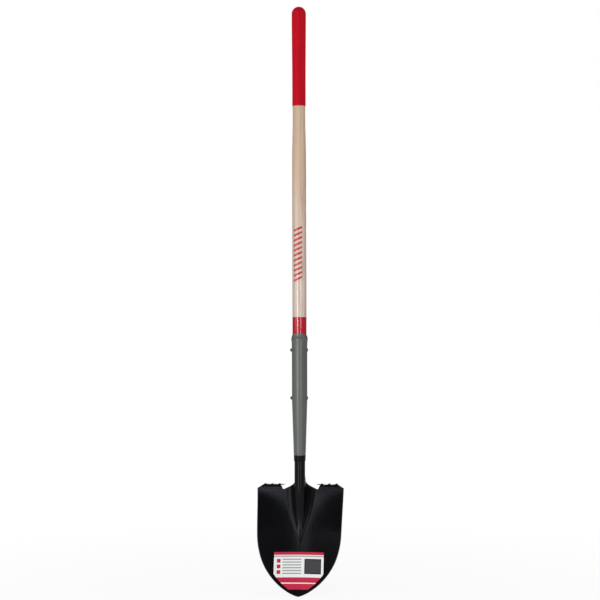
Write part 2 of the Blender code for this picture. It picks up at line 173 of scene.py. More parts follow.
class Socket:
    """An output in a node tree. An expression on it adds its Math nodes, and node adds any other node."""

    def __init__(self, tree, output=None):
        self.tree = tree
        self.output = output

    def node(self, kind, settings, inputs, output=0):
        """Add a node: its settings first, then its sockets' values or links. Gives one output back."""
        added = self.tree.nodes.new(kind)
        for name, value in settings.items():
            setattr(added, name, value)
        self.feed(added, inputs)
        return Socket(self.tree, added.outputs[output])

    def feed(self, node, inputs):
        """Link or set a node's sockets, by name or number."""
        for name, value in inputs.items():
            if isinstance(value, Socket):
                self.tree.links.new(value.output, node.inputs[name])
            else:
                node.inputs[name].default_value = value

    def math(self, operation, *values):
        """Math node of the given values."""
        return self.node("ShaderNodeMath", {"operation": operation}, dict(enumerate(values)))

    def step(self, low, high):
        """Smooth step of this value, from 0 at low to 1 at high."""
        ends = {"Value": self, "From Min": low, "From Max": high}
        return self.node("ShaderNodeMapRange", {"interpolation_type": "SMOOTHSTEP"}, ends)

    def noise(self, place, scale, detail=2.0, roughness=0.5):
        """Noise between 0 and 1 at a place, with a scale for each axis, in waves to the metre."""
        spread = self.node("ShaderNodeMapping", {}, {"Vector": place, "Scale": scale})
        inputs = {"Vector": spread, "Scale": 1.0, "Detail": detail, "Roughness": roughness}
        return self.node("ShaderNodeTexNoise", {}, inputs)

    def blend(self, first, second):
        """Mix of two colours, with this value as the second one's share."""
        inputs = {0: self, 6: first, 7: second}
        return self.node("ShaderNodeMix", {"data_type": "RGBA"}, inputs, output=2)

    def bump(self, distance):
        """Normal of a surface raised by this value times a distance."""
        return self.node("ShaderNodeBump", {}, {"Height": self, "Distance": distance, "Strength": 1.0})

    def __add__(self, other):
        return self.math("ADD", self, other)

    def __radd__(self, other):
        return self.math("ADD", other, self)

    def __sub__(self, other):
        return self.math("SUBTRACT", self, other)

    def __rsub__(self, other):
        return self.math("SUBTRACT", other, self)

    def __mul__(self, other):
        return self.math("MULTIPLY", self, other)

    def __rmul__(self, other):
        return self.math("MULTIPLY", other, self)

    def __truediv__(self, other):
        return self.math("DIVIDE", self, other)

    def __rtruediv__(self, other):
        return self.math("DIVIDE", other, self)


def finish(piece, name, constants):
    """New material on a piece, with constants on its shader. Gives tree, shader and Object coordinates."""
    material = bpy.data.materials.new(name)
    material.use_nodes = True
    tree = Socket(material.node_tree)
    shader = material.node_tree.nodes["Principled BSDF"]
    tree.feed(shader, constants)
    piece.data.materials.append(material)
    place = tree.node("ShaderNodeTexCoord", {}, {}, output="Object")
    return tree, shader, place


def axes(tree, place, names):
    """The named numbers of a vector, such as XZ."""
    return [tree.node("ShaderNodeSeparateXYZ", {}, {"Vector": place}, output=name) for name in names]


TAN_WOOD = (0.640, 0.462, 0.325, 1.0)
# The pale wood is a painted sheen: the lacquer's sheen on the lower shaft, painted as paler, greyer wood
SHEEN_PALE_WOOD = (0.660, 0.535, 0.460, 1.0)
DARK_WOOD = (0.480, 0.330, 0.235, 1.0)
PORE_WOOD = (0.360, 0.235, 0.155, 1.0)
BAND_RED = (0.460, 0.0040, 0.0200, 1.0)
PRINT_RED = (0.480, 0.016, 0.020, 1.0)
FOOT_BLACK = (0.0036, 0.0035, 0.0046, 1.0)
# Heights between which the painted sheen fades, from full below to none above
FULL_SHEEN_BELOW_Z = -0.120
TAN_ABOVE_Z = 0.130
RING_WIDTH = 0.0026
RING_WANDER = 0.006
PITH_X = -0.055
PITH_X_LEAN = 0.012
PITH_X_AT_Z = -0.3
PITH_Y = 0.095
PITH_Y_LEAN = 0.008
PITH_Y_AT_Z = 0.1
BAND_TOP_Z = -0.2717
BAND_END_Z = -0.3700
DIP_LINE_Z = -0.6264
PAINT_EDGE = 0.0005
PAINT_WAVER = 0.0006
PRINT_TOP_Z = -0.042
PRINT_PITCH = 0.0128
PRINT_COUNT = 11
PRINT_HALF_WIDTH = 0.0110
PRINT_EDGE = 0.0004
PRINT_END_SHARE = 0.01
PRINT_TURN = -0.0023
PRINT_SLANT = 0.45
PRINT_FRONT_Y = -0.004
PRINT_BACK_Y = -0.003

lacquer = {"Specular IOR Level": 0.2, "Coat Weight": 0.9, "Coat Roughness": 0.16}
tree, shader, place = finish(handle, "lacquered_ash", lacquer)
x, y, z = axes(tree, place, "XYZ")
drift = tree.noise(place, scale=(22.0, 22.0, 2.2))
ring_x = x - PITH_X + (z - PITH_X_AT_Z) * PITH_X_LEAN + (drift - 0.5) * RING_WANDER
ring_y = y - PITH_Y - (z - PITH_Y_AT_Z) * PITH_Y_LEAN
ring = tree.math("SQRT", ring_x * ring_x + ring_y * ring_y) / RING_WIDTH
growth = tree.math("FRACT", ring)
late = growth.step(0.55, 0.95) * (1.0 - growth.step(0.95, 1.0))
streak = tree.noise(place, scale=(900.0, 900.0, 14.0), detail=3.0, roughness=0.6)
pores = streak.step(0.60, 0.74) * (1.0 - growth.step(0.25, 0.55))
board = tree.noise(place, scale=(40.0, 40.0, 1.5), detail=3.0)
# Painted sheen: the wood turns from tan above to paler, greyer wood towards the foot
ash = z.step(FULL_SHEEN_BELOW_Z, TAN_ABOVE_Z).blend(SHEEN_PALE_WOOD, TAN_WOOD)
wood = (late * 0.50 + board.step(0.35, 0.75) * 0.20).blend(ash, DARK_WOOD)
wood = (pores * 0.55).blend(wood, PORE_WOOD)
ragged = z + tree.noise(place, scale=(160.0, 160.0, 40.0)) * PAINT_WAVER
above_band = ragged.step(BAND_TOP_Z, BAND_TOP_Z + PAINT_EDGE)
band = ragged.step(BAND_END_Z, BAND_END_Z + PAINT_EDGE) * (1.0 - above_band)
dipped = 1.0 - ragged.step(DIP_LINE_Z, DIP_LINE_Z + PAINT_EDGE)
along = (PRINT_TOP_Z - z) / PRINT_PITCH + (x - PRINT_TURN) * (PRINT_SLANT / PRINT_PITCH)
bar = tree.math("FRACT", along)
bars = bar.step(0.04, 0.09) * (1.0 - bar.step(0.50, 0.55))
before_end = 1.0 - along.step(PRINT_COUNT - PRINT_END_SHARE, PRINT_COUNT)
inside = along.step(0.0, PRINT_END_SHARE) * before_end
aside = tree.math("ABSOLUTE", x - PRINT_TURN)
front = 1.0 - y.step(PRINT_FRONT_Y, PRINT_BACK_Y)
printed = bars * inside * front * (1.0 - aside.step(PRINT_HALF_WIDTH - PRINT_EDGE, PRINT_HALF_WIDTH))
colour = (printed * (1.0 - pores * 0.5)).blend(wood, PRINT_RED)
colour = dipped.blend(band.blend(colour, BAND_RED), FOOT_BLACK)
roughness = 0.46 + late * 0.06 + pores * 0.10 - band * 0.16
relief = (1.0 - pores) * 0.6 + streak * 0.4
tree.feed(shader, {"Base Color": colour, "Roughness": roughness, "Normal": relief.bump(distance=0.00006)})
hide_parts("handle")
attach(handle, "root")


# Blade. One pressing of 2 mm steel: the dished body, the frog that stiffens it, the neck that rolls shut
# into a socket inside the collar, and two turned-back steps with teeth. It is painted a semi-gloss black,
# which has worn thin along the cut edges; the light line there is partly a painted highlight.
SHEET = 0.002
COLLAR_RADIUS = 0.0197
COLLAR_END_RADIUS = 0.0149
COLLAR_WALL = 0.0014
COLLAR_END_WALL = 0.0009
NECK_LENGTH = 0.0730
SEAM_GAP = 0.0012
SEAM_SHOWN = 0.010
FLARE_HEIGHT = 0.022
FLARE_POWER = 2.26
FROG_FILLET = 0.025
FROG_LENGTH = 0.158
FROG_FADE = 3.0
FROG_LEAST_SPREAD = math.radians(25)
BLADE_LENGTH = 0.2813
LIFT = math.radians(20)
BOW = 0.008
BLADE_WIDTH = 0.213
STEP_FLARE = 0.0055
SHOULDER_FADE = 0.152
POINT_LENGTH = 0.1525
POINT_POWER = 2.19
POINT_FULLNESS = 0.709
DISH_DEPTH = 0.020
DISH_RAMP = 0.110
STEP_STRAIGHT = 0.0035
STEP_BEND = 0.0066
TREAD_DEPTH = 0.014
STEP_CORNER_WIDTH = 0.015
STEP_CORNER_HEIGHT = 0.0084
STEP_CORNER_POWER = 1.1
TOOTH_COUNT = 3
TOOTH_BASE = 0.007
TOOTH_HEIGHT = 0.002
TOOTH_MARGIN = 0.0015
NECK_LAND = 0.001
NOTCH_WIDTH = 0.0085
NOTCH_DIP = 0.0018
NOTCH_FADE = 0.012
NOTCH_UNDERCUT = 0.003
TREAD_POINT = 0.006
EDGE_EASE = 0.0009
EDGE_SHARE = 0.45
EASE_LEVELS = 8

NECK_RADIUS = COLLAR_END_RADIUS - COLLAR_END_WALL - FIT - SHEET / 2
NECK_FOOT_Z = COLLAR_END_Z - NECK_LENGTH
BLADE_DROP = BLADE_LENGTH * math.cos(LIFT)
STEP_RAKE = math.atan(math.tan(LIFT) - 4 * BOW / BLADE_DROP)
STEP_HALF = BLADE_WIDTH / 2 + STEP_FLARE
FROG_RADIUS = NECK_RADIUS + FROG_FILLET
ROLL_HEIGHT = NECK_LENGTH - SEAM_SHOWN
JOIN_HEIGHT = ROLL_HEIGHT / 12
NOTCH_INNER = FROG_RADIUS + NECK_LAND
NOTCH_OUTER = NOTCH_INNER + NOTCH_WIDTH
FIRST_TOOTH_START = NOTCH_OUTER + NOTCH_UNDERCUT + TOOTH_MARGIN
LAST_TOOTH_END = STEP_HALF - STEP_CORNER_WIDTH - TOOTH_MARGIN

CREST_COLUMNS = 15
FILLET_COLUMNS = 19
NOTCH_COLUMNS = 9
TOOTH_COLUMNS = 61
CORNER_COLUMNS = 17
BODY_ROWS = 161
BODY_ROW_POWER = 1.15
SOCKET_ROWS = 4
TAPER_ROWS = 8
SEAM_ROWS = 4
ROLL_ROWS = 49
TREAD_ROWS = 9
BEND_ROWS = 17
STRAIGHT_ROWS = 6
# Keeps the radius of the neck's arc finite where the sheet runs straight back
LEAST_TURN = 1e-9


def half_width(drop):
    """Half width: half the body plus a fading flare, times one minus a power of the point, to a power."""
    shoulder = STEP_FLARE * np.clip(1.0 - drop / SHOULDER_FADE, 0.0, 1.0)
    t = np.clip((drop - BLADE_DROP + POINT_LENGTH) / POINT_LENGTH, 0.0, 1.0)
    return (BLADE_WIDTH / 2 + shoulder) * (1.0 - t**POINT_POWER) ** POINT_FULLNESS


def frog_angle(drop):
    """Half angle of the frog's crest: its height is a power of 1 - t, times a line that eases it in."""
    t = np.clip(drop / FROG_LENGTH, 0.0, 1.0)
    height = (1.0 - t) ** FROG_FADE * (1.0 + (FROG_FADE - 1.0) * t)
    return np.arccos(1.0 - height)


def sheet_y(x, drop):
    """Y of the sheet's middle: a sloped bed with a parabola's bow, less the frog and less the dish.

    The frog is a round crest with a round fillet on each side, and the dish grows as x squared.
    """
    t = drop / BLADE_DROP
    bed = FROG_FILLET - drop * math.tan(LIFT) + 4 * BOW * t * (1.0 - t)
    angle = frog_angle(drop)
    across = np.abs(x)
    height = FROG_RADIUS * (1.0 - np.cos(angle))
    crest = height - NECK_RADIUS + np.sqrt(np.maximum(NECK_RADIUS**2 - across**2, 0.0))
    reach = np.clip(FROG_RADIUS * np.sin(angle) - across, 0.0, FROG_FILLET)
    fillet = FROG_FILLET - np.sqrt(FROG_FILLET**2 - reach**2)
    frog = np.where(across < NECK_RADIUS * np.sin(angle), crest, fillet)
    return bed - frog - DISH_DEPTH * ease(drop / DISH_RAMP) * (2 * x / BLADE_WIDTH) ** 2


def collar_taper(z):
    """Share of the collar's taper: 0 down to its start below the rivets, then a line to 1 at its end."""
    return np.clip((TAPER_Z - z) / (TAPER_Z - COLLAR_END_Z), 0.0, 1.0)


def collar_bore(z):
    """Inner radius of the collar: straight, then a straight taper with a wall that thins."""
    bore = COLLAR_RADIUS - COLLAR_WALL
    return bore + (COLLAR_END_RADIUS - COLLAR_END_WALL - bore) * collar_taper(z)


crest_share = np.linspace(0.0, 1.0, CREST_COLUMNS)
fillet_share = np.linspace(1.0, 0.0, FILLET_COLUMNS)[1:]
notch_columns = np.linspace(NOTCH_INNER, NOTCH_OUTER, NOTCH_COLUMNS)
tooth_columns = np.linspace(NOTCH_OUTER, LAST_TOOTH_END, TOOTH_COLUMNS)[1:]
corner_columns = np.linspace(LAST_TOOTH_END, STEP_HALF, CORNER_COLUMNS)[1:]
shelf = np.concatenate([notch_columns, tooth_columns, corner_columns])
shelf_share = (shelf - FROG_RADIUS) / (STEP_HALF - FROG_RADIUS)

# The body below the notches: columns spread along the frog's arcs, then in fixed shares out to the edge
down = np.linspace(0.0, 1.0, BODY_ROWS) ** BODY_ROW_POWER
drop = BLADE_DROP * np.sin(np.pi / 2 * down)[:, None]
edge = half_width(drop)
spread = np.maximum(frog_angle(drop), FROG_LEAST_SPREAD)
crest_x = NECK_RADIUS * np.sin(spread * crest_share)
fillet_x = FROG_RADIUS * np.sin(spread) - FROG_FILLET * np.sin(spread * fillet_share)
frog_x = np.concatenate([crest_x, fillet_x], axis=1) * np.minimum(1.0, 2 * edge / BLADE_WIDTH)
shelf_x = frog_x[:, -1:] + shelf_share * (edge - frog_x[:, -1:])
body_x = np.concatenate([frog_x, shelf_x], axis=1)
notch_share = np.clip((shelf - NOTCH_INNER) / NOTCH_WIDTH, 0.0, 1.0)
notch_dip = np.concatenate([np.zeros(frog_x.shape[1]), NOTCH_DIP * np.sin(np.pi * notch_share)])
body_drop = drop + notch_dip * np.clip(1.0 - drop / NOTCH_FADE, 0.0, 1.0) ** 2
body = np.stack([body_x, sheet_y(body_x, body_drop), NECK_FOOT_Z - body_drop], axis=-1)
body_inset = edge - body_x
at_notch = slice(frog_x.shape[1], frog_x.shape[1] + len(notch_columns))
body_inset[:, at_notch] = np.minimum(body_inset[:, at_notch], drop)

# The neck above the notches: half a crest, then an arc that leaves it straight back and ends on a path
# from the notch up to the seam, where the sheet has rolled shut
height = np.concatenate([
    np.linspace(SOCKET_TOP_Z, TAPER_Z, SOCKET_ROWS) - NECK_FOOT_Z,
    np.linspace(TAPER_Z, COLLAR_END_Z, TAPER_ROWS)[1:] - NECK_FOOT_Z,
    np.linspace(NECK_LENGTH, ROLL_HEIGHT, SEAM_ROWS)[1:],
    np.linspace(ROLL_HEIGHT, 0.0, ROLL_ROWS)[1:],
])[:, None]
radius = collar_bore(NECK_FOOT_Z + height) - FIT - SHEET / 2
flare = np.clip(1.0 - height / FLARE_HEIGHT, 0.0, 1.0) ** FLARE_POWER
shut = ease((height - FLARE_HEIGHT) / (ROLL_HEIGHT - FLARE_HEIGHT))
rise = np.clip(height / ROLL_HEIGHT, 0.0, 1.0)
aside = (NOTCH_INNER - NECK_RADIUS) * flare - (radius - SEAM_GAP / 2) * shut
slope = math.tan(STEP_RAKE) * height * (1.0 - rise) ** 2
back = radius + (FROG_FILLET - radius) * (1.0 - ease(rise)) + slope
turn = 2 * np.arctan2(aside, back) + LEAST_TURN
reach = back / np.sin(turn)
crest_turn = np.pi / 2 * crest_share
arm_turn = turn * np.linspace(0.0, 1.0, len(fillet_share) + 2)[1:]
neck_x = np.concatenate([radius * np.sin(crest_turn), radius + reach * (1.0 - np.cos(arm_turn))], axis=1)
neck_y = np.concatenate([-radius * np.cos(crest_turn), reach * np.sin(arm_turn)], axis=1)
neck = np.stack([neck_x, neck_y, np.repeat(NECK_FOOT_Z + height, neck_x.shape[1], axis=1)], axis=-1)
join = np.clip(1.0 - height / JOIN_HEIGHT, 0.0, 1.0)[:, :, None]
neck = neck + join * (body[0, : neck.shape[1]] - neck[-1])
neck_inset = np.full(neck_x.shape, STEP_HALF)
neck_inset[:, len(crest_turn):] = reach * (turn - arm_turn)

# One step: the sheet runs straight up from the notch row, bends back over a quarter turn and ends in a
# level tread, with teeth raised square to the sheet
start_y = FROG_FILLET + STEP_STRAIGHT * math.sin(STEP_RAKE)
start_z = NECK_FOOT_Z + STEP_STRAIGHT * math.cos(STEP_RAKE)
centre_y = start_y + STEP_BEND * math.cos(STEP_RAKE)
centre_z = start_z - STEP_BEND * math.sin(STEP_RAKE)
tread_z = centre_z + STEP_BEND
rear = np.linspace(1.0, 0.0, TREAD_ROWS)[:-1]
bend = np.linspace(math.pi / 2, STEP_RAKE, BEND_ROWS)
straight = np.linspace(1.0, 0.0, STRAIGHT_ROWS)[1:]
place_y = np.concatenate([
    centre_y + TREAD_DEPTH * rear,
    centre_y - STEP_BEND * np.cos(bend),
    FROG_FILLET + (start_y - FROG_FILLET) * straight,
])[:, None]
place_z = np.concatenate([
    np.full(len(rear), tread_z),
    centre_z + STEP_BEND * np.sin(bend),
    NECK_FOOT_Z + (start_z - NECK_FOOT_Z) * straight,
])[:, None]
facing = np.concatenate([
    np.full(len(rear), math.pi / 2),
    bend,
    np.full(len(straight), STEP_RAKE),
])[:, None]
turned_share = (facing - STEP_RAKE) / (math.pi / 2 - STEP_RAKE)
up = np.clip(1.0 - (tread_z - place_z) / STEP_CORNER_HEIGHT, 0.0, 1.0)
drawn_in = STEP_CORNER_WIDTH * (1.0 - (1.0 - up**STEP_CORNER_POWER) ** (1.0 / STEP_CORNER_POWER))
top = np.concatenate([[NOTCH_OUTER], tooth_columns, corner_columns])
corner_share = np.clip((top - LAST_TOOTH_END) / (STEP_HALF - LAST_TOOTH_END), 0.0, 1.0)
inner_share = np.clip((FIRST_TOOTH_START - top) / (FIRST_TOOTH_START - NOTCH_OUTER), 0.0, 1.0)
rear_share = np.clip((place_y - centre_y) / TREAD_DEPTH, 0.0, 1.0)
inner_move = NOTCH_UNDERCUT * np.sin(np.pi * turned_share) - TREAD_POINT * rear_share
step_x = top + inner_share * inner_move - corner_share * drawn_in
half_tooth = TOOTH_BASE / 2
tooth_middles = np.linspace(FIRST_TOOTH_START + half_tooth, LAST_TOOTH_END - half_tooth, TOOTH_COUNT)
off_tooth = np.abs(top - tooth_middles[:, None]).min(axis=0)
lift = TOOTH_HEIGHT * ease(1.0 - off_tooth / half_tooth) * ease(2.0 * turned_share - 1.0)
step = np.stack([step_x, place_y - lift * np.cos(facing), place_z + lift * np.sin(facing)], axis=-1)
step[-1] = body[0, -len(top):]
step_inset = np.minimum(step_x - step_x[:, :1], step_x[:, -1:] - step_x)
step_inset = np.minimum(step_inset, centre_y + TREAD_DEPTH - place_y)

# The right half of the three patches, and its mirror with the faces turned round
patches = (body, neck, step)
starts = np.cumsum([0] + [patch.shape[0] * patch.shape[1] for patch in patches])
right = np.concatenate([patch.reshape(-1, 3) for patch in patches])
quads = np.concatenate([grid_faces(*patch.shape[:2]) + start for patch, start in zip(patches, starts)])
blade_points = np.concatenate([right, right * (-1.0, 1.0, 1.0)])
blade_faces = np.concatenate([quads, quads[:, ::-1] + len(right)])
insets = np.concatenate([patch.reshape(-1) for patch in (body_inset, neck_inset, step_inset)])
blade = mesh_piece("pressed_blade", blade_points, blade_faces, sharp_degrees=50, inset=np.tile(insets, 2))

# The sheet thins to its cut edge over a quarter round, in a few levels of thickness
merged = np.empty(len(blade.data.vertices))
blade.data.attributes["inset"].data.foreach_get("value", merged)
level = np.round(EASE_LEVELS * np.sqrt(1.0 - (1.0 - np.clip(merged / EDGE_EASE, 0.0, 1.0)) ** 2))
eased = blade.vertex_groups.new(name="eased")
for number in range(EASE_LEVELS + 1):
    eased.add(np.flatnonzero(level == number).tolist(), number / EASE_LEVELS, "REPLACE")
solid = blade.modifiers.new("thickness", "SOLIDIFY")
solid.thickness = SHEET
solid.offset = 0.0
solid.use_even_offset = True
solid.vertex_group = eased.name
solid.thickness_vertex_group = EDGE_SHARE

BLACK_PAINT = (0.0034, 0.0033, 0.0044, 1.0)
WORN_PAINT = (0.0064, 0.0062, 0.0078, 1.0)
# The edge colour is worn bare steel and also a painted highlight along the cut edges
EDGE_STEEL_AND_HIGHLIGHT = (0.0420, 0.0420, 0.0440, 1.0)
EDGE_WEAR_AND_HIGHLIGHT = 0.0022


def black_paint(tree, place):
    """Colour, roughness and height of semi-gloss black paint: cloudy patches, specks and orange peel."""
    cloud = tree.noise(place, scale=(14.0, 14.0, 14.0), detail=4.0, roughness=0.6)
    speck = tree.noise(place, scale=(1500.0, 1500.0, 1500.0))
    peel = tree.noise(place, scale=(260.0, 260.0, 260.0))
    colour = (cloud.step(0.45, 0.8) * 0.5 + speck.step(0.62, 0.8) * 0.3).blend(BLACK_PAINT, WORN_PAINT)
    roughness = 0.18 + cloud * 0.07 + speck * 0.03
    return colour, roughness, peel + speck * 0.15


tree, shader, place = finish(blade, "black_paint", {"Specular IOR Level": 0.16})
colour, roughness, relief = black_paint(tree, place)
inset = tree.node("ShaderNodeAttribute", {"attribute_name": "inset"}, {}, output="Fac")
# Wear and painted highlight: a fine line in from the cut edges is lightened towards bare steel
nibbled = inset + tree.noise(place, scale=(350.0, 350.0, 350.0), detail=3.0, roughness=0.6) * EDGE_WEAR_AND_HIGHLIGHT
bare_and_highlit = 1.0 - nibbled.step(EDGE_WEAR_AND_HIGHLIGHT * 0.9, EDGE_WEAR_AND_HIGHLIGHT * 1.5)
colour = (bare_and_highlit * 0.75).blend(colour, EDGE_STEEL_AND_HIGHLIGHT)
tree.feed(shader, {"Base Color": colour, "Roughness": roughness, "Normal": relief.bump(distance=0.00012)})
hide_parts("blade")
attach(blade, "root")


# Collar. A tapered steel tube pressed over the socket and the handle, with a bell mouth sawn off on a
# slant, higher at the front. It is painted grey, and its lower end was dipped with the blade in black.
BELL_RISE = 0.0015
BELL_DROP = 0.007
BELL_FADE = 0.009
BELL_SHARE = 0.12
MOUTH_SLANT = math.radians(20)
COLLAR_TOP_Z = -0.3205
COLLAR_RIM = 0.0005
BELL_ROWS = 40
TUBE_ROWS = 60
RIM_ROWS = 5


def collar_outside(z):
    """Outer radius: a tube, a straight taper below the rivets, and a bell that eases in and fades out."""
    below = COLLAR_TOP_Z - z
    fade = 1.0 + (np.maximum(0.0, below - BELL_DROP) / BELL_FADE) ** 2
    tube = COLLAR_RADIUS + (COLLAR_END_RADIUS - COLLAR_RADIUS) * collar_taper(z)
    return tube + BELL_RISE * ease(below / BELL_DROP) / fade


angle = np.linspace(0.0, 2 * np.pi, TURNED_SIDES, endpoint=False)
mouth_z = COLLAR_TOP_Z - COLLAR_RADIUS * np.sin(angle) * math.tan(MOUTH_SLANT)
bell_down = np.linspace(0.0, BELL_SHARE, BELL_ROWS)
tube_down = np.linspace(BELL_SHARE, 1.0, TUBE_ROWS)[1:]
down = np.concatenate([bell_down, tube_down])[:, None]
rim_turn = np.linspace(0.0, np.pi / 2, RIM_ROWS)[1:][:, None]
tube_z = mouth_z - COLLAR_RIM + (COLLAR_END_Z + 2 * COLLAR_RIM - mouth_z) * down
top_z = mouth_z - COLLAR_RIM + COLLAR_RIM * np.sin(rim_turn)
low_z = COLLAR_END_Z + COLLAR_RIM - COLLAR_RIM * np.sin(rim_turn)
rounding = COLLAR_RIM * (1.0 - np.cos(rim_turn))
low_r = collar_outside(low_z) - rounding
collar_r = np.concatenate([
    collar_outside(tube_z),
    np.repeat(low_r, TURNED_SIDES, axis=1),
    collar_bore(tube_z)[::-1],
    (collar_outside(mouth_z - COLLAR_RIM) - rounding)[::-1],
    collar_outside(tube_z)[:1],
])
collar_z = np.concatenate([
    tube_z,
    np.repeat(low_z, TURNED_SIDES, axis=1),
    tube_z[::-1],
    top_z[::-1],
    tube_z[:1],
])
collar_points = np.stack([collar_r * np.cos(angle), collar_r * np.sin(angle), collar_z], axis=-1)
collar = ring_piece("grey_collar", collar_points, sharp_degrees=50)

GREY_PAINT = (0.104, 0.115, 0.102, 1.0)
DULL_GREY = (0.070, 0.077, 0.067, 1.0)
BARE_STEEL = (0.260, 0.262, 0.255, 1.0)
RIM_WEAR = 0.0014
DIP_EDGE = 0.0008
DIP_WAVER = 0.0012

tree, shader, place = finish(collar, "grey_paint", {"Specular IOR Level": 0.12, "Coat Roughness": 0.35})
y, z = axes(tree, place, "YZ")
cloud = tree.noise(place, scale=(30.0, 30.0, 9.0), detail=4.0, roughness=0.6)
scuff = tree.noise(place, scale=(700.0, 700.0, 60.0), detail=3.0, roughness=0.6)
drawn = tree.noise(place, scale=(420.0, 420.0, 6.0), detail=3.0, roughness=0.6)
scratch = tree.noise(place, scale=(2600.0, 2600.0, 90.0)).step(0.67, 0.72)
peel = tree.noise(place, scale=(420.0, 420.0, 420.0))
dull = cloud * 0.35 + drawn.step(0.42, 0.68) * 0.35 + scuff.step(0.52, 0.75) * 0.35
grey = dull.blend(GREY_PAINT, DULL_GREY)
mouth = z + y * math.tan(MOUTH_SLANT)
rubbed = mouth.step(COLLAR_TOP_Z - RIM_WEAR, COLLAR_TOP_Z) * scuff.step(0.35, 0.60)
grey = (scratch * 0.30 + rubbed * 0.75).blend(grey, BARE_STEEL)
ragged = z + tree.noise(place, scale=(120.0, 120.0, 120.0)) * DIP_WAVER
dipped = 1.0 - ragged.step(DIP_LINE_Z, DIP_LINE_Z + DIP_EDGE)
undipped = 1.0 - dipped
black, black_roughness, _ = black_paint(tree, place)
roughness = (0.33 + cloud * 0.08 + scuff * 0.05) * undipped + black_roughness * dipped
relief = peel * 0.7 + scuff * 0.4 - scratch * 0.3 + dipped * 1.5
tree.feed(shader, {
    "Base Color": dipped.blend(grey, black),
    "Roughness": roughness,
    "Coat Weight": undipped,
    "Normal": relief.bump(distance=0.00008),
})
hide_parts("collar")
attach(collar, "root")


# Rivets. Two steel rivets along X. The upper one pins the collar to the handle, and the lower one goes
# through the socket too. Each has a domed head on the left and a low tail peened over on the right.
SHANK_RADIUS = 0.00275
HEAD_RADIUS = 0.0045
HEAD_HEIGHT = 0.0044
TAIL_RADIUS = 0.0045
TAIL_HEIGHT = 0.0018
DOME_RINGS = 14
RIVET_SIDES = 40
RIVET_STEEL = (0.165, 0.176, 0.160, 1.0)
DULL_STEEL = (0.095, 0.100, 0.090, 1.0)

head_turn = np.linspace(np.pi / 2, 0.0, DOME_RINGS)
tail_turn = head_turn[::-1]
for name in ("upper_rivet", "lower_rivet"):
    low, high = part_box(name)
    middle_z = (low[2] + high[2]) / 2
    head_seat = -low[0] - HEAD_HEIGHT
    tail_seat = TAIL_HEIGHT - high[0]
    radii = np.concatenate([
        HEAD_RADIUS * np.cos(head_turn),
        [SHANK_RADIUS, SHANK_RADIUS],
        TAIL_RADIUS * np.cos(tail_turn),
    ])
    heights = np.concatenate([
        head_seat + HEAD_HEIGHT * np.sin(head_turn),
        [head_seat, tail_seat],
        tail_seat - TAIL_HEIGHT * np.sin(tail_turn),
    ])
    turned = turned_points(radii, heights, RIVET_SIDES)
    # Up becomes -X, and the ring's first axis becomes Z
    points = np.stack([-turned[..., 2], turned[..., 1], turned[..., 0] + middle_z], axis=-1)
    rivet = ring_piece(name + "_steel", points, sharp_degrees=40)
    tree, shader, place = finish(rivet, name + "_steel", {"Metallic": 0.6})
    hammer = tree.noise(place, scale=(900.0, 900.0, 900.0))
    stain = tree.noise(place, scale=(260.0, 260.0, 260.0), detail=3.0)
    colour = stain.step(0.35, 0.75).blend(RIVET_STEEL, DULL_STEEL)
    roughness = 0.38 + stain * 0.2
    relief = hammer.bump(distance=0.00012)
    tree.feed(shader, {"Base Color": colour, "Roughness": roughness, "Normal": relief})
    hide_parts(name)
    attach(rivet, "root")


# Grip. A red vinyl sleeve with a closed round end, stretched over the handle's swelled end. Its wall is
# 0.8 mm thick and its lower lip is rounded.
GRIP_WALL = 0.0008
GRIP_RINGS = 70
LIP_RINGS = 9
GRIP_RED = (0.610, 0.0024, 0.0130, 1.0)
# The deep red serves the vinyl's darker streaks and the painted shade at the lower lip
DEEP_RED_AND_SHADE = (0.400, 0.0020, 0.0110, 1.0)
RUBBED_RED = (0.610, 0.0300, 0.0400, 1.0)

lip_radius = GRIP_WALL / 2
lip = GRIP_END_Z + lip_radius
outer_r, outer_z = capped_profile(FIT + GRIP_WALL, lip, GRIP_RINGS)
inner_r, inner_z = capped_profile(FIT, lip, GRIP_RINGS)
lip_turn = np.linspace(0.0, np.pi, LIP_RINGS)[1:-1]
lip_r = upper_radius(lip) + FIT + lip_radius + lip_radius * np.cos(lip_turn)
lip_z = lip - lip_radius * np.sin(lip_turn)
grip_radii = np.concatenate([outer_r, lip_r, inner_r[::-1]])
grip_heights = np.concatenate([outer_z, lip_z, inner_z[::-1]])
grip = ring_piece("vinyl_grip", turned_points(grip_radii, grip_heights, TURNED_SIDES), sharp_degrees=50)

tree, shader, place = finish(grip, "red_vinyl", {"Specular IOR Level": 0.08})
z = axes(tree, place, "Z")[0]
drawn = tree.noise(place, scale=(150.0, 150.0, 2.0), detail=3.0, roughness=0.6)
thread = tree.noise(place, scale=(900.0, 900.0, 7.0))
cloud = tree.noise(place, scale=(60.0, 60.0, 18.0), detail=3.0)
pebble = tree.noise(place, scale=(1700.0, 1700.0, 1700.0))
rubbed = z.step(HANDLE_TOP_Z - 2 * CAP_HEIGHT, HANDLE_TOP_Z) * pebble.step(0.50, 0.75)
